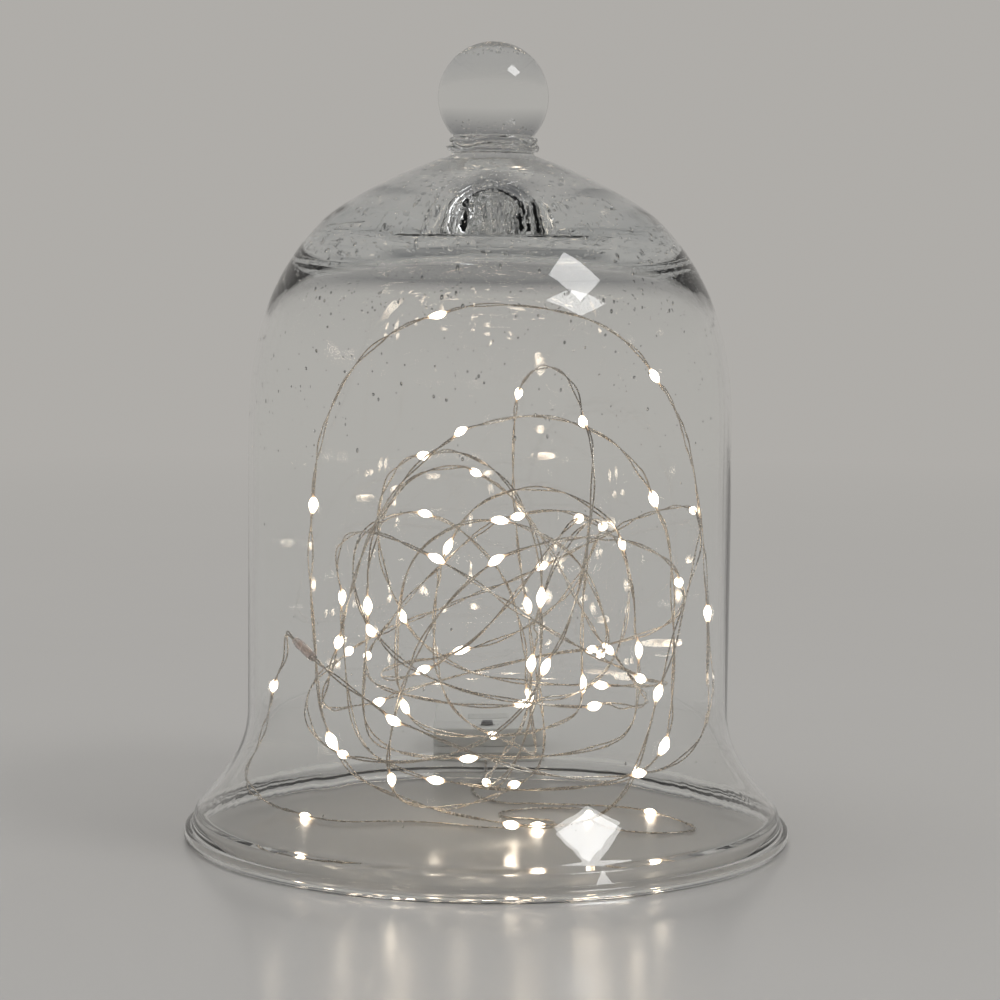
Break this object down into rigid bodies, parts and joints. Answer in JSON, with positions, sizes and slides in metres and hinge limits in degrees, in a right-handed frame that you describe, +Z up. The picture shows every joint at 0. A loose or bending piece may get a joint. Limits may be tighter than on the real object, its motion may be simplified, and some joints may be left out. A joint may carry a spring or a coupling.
{
  "type": "led glass cloche",
  "caption": "Clear blown glass bell with a ball knob over a loose tangle of small warm white lights on thin silver wire, fed from a battery box behind it.",
  "frame": {"origin": "centre of the rim, on the surface that the bell stands on", "axes": "+Z up along the bell's axis, +X to the viewer's right, +Y away from the viewer, towards the battery box"},
  "size_m": [0.24, 0.3306, 0.3119],
  "materials": {
    "clear_glass": "clear blown glass with small bubbles, polished",
    "silver_wire": "bright thin twin wire in clear lacquer",
    "light_resin": "clear resin drop over a warm white light",
    "clear_sleeve": "clear shrunk sleeve",
    "box_plastic": "fine satin moulded plastic",
    "cell_wrap": "printed foil wrap without any words",
    "nickel": "nickel plated",
    "board_lacquer": "green solder lacquer",
    "chip_plastic": "moulded package",
    "soft_rubber": "matt soft plastic",
    "slider_plastic": "fine satin moulded plastic"
  },
  "bodies": {
    "light_set": {"wire_run": "silver_wire", "wire_winding": "silver_wire", "splice_sleeve": "clear_sleeve", "end_light": "light_resin", "box_tray": "box_plastic", "bay_deck": "box_plastic", "battery_cell_1": "cell_wrap", "battery_cell_2": "cell_wrap", "battery_cell_3": "cell_wrap", "contact_spring_1": "nickel", "contact_spring_2": "nickel", "contact_spring_3": "nickel", "contact_plate_minus": "nickel", "contact_bridge_front": "nickel", "contact_bridge_rear": "nickel", "contact_plate_plus": "nickel", "control_board": "board_lacquer", "timer_chip": "chip_plastic", "slide_switch": "nickel", "cord_grommet": "soft_rubber"},
    "cloche": {"glass_bell": "clear_glass", "neck_collar": "clear_glass", "ball_knob": "clear_glass"},
    "cover": {"battery_cover": "box_plastic"},
    "slider": {"switch_slider": "slider_plastic"}
  },
  "joints": [
    {"name": "cloche_lift", "type": "slide", "parent": "light_set", "child": "cloche", "axis": [0, 0, 1], "range_m": [0, 0.24]},
    {"name": "cover_slide", "type": "slide", "parent": "light_set", "child": "cover", "axis": [0, 1, 0], "range_m": [0, 0.058]},
    {"name": "switch_slide", "type": "slide", "parent": "light_set", "child": "slider", "axis": [1, 0, 0], "range_m": [-0.002, 0.002]}
  ]
}
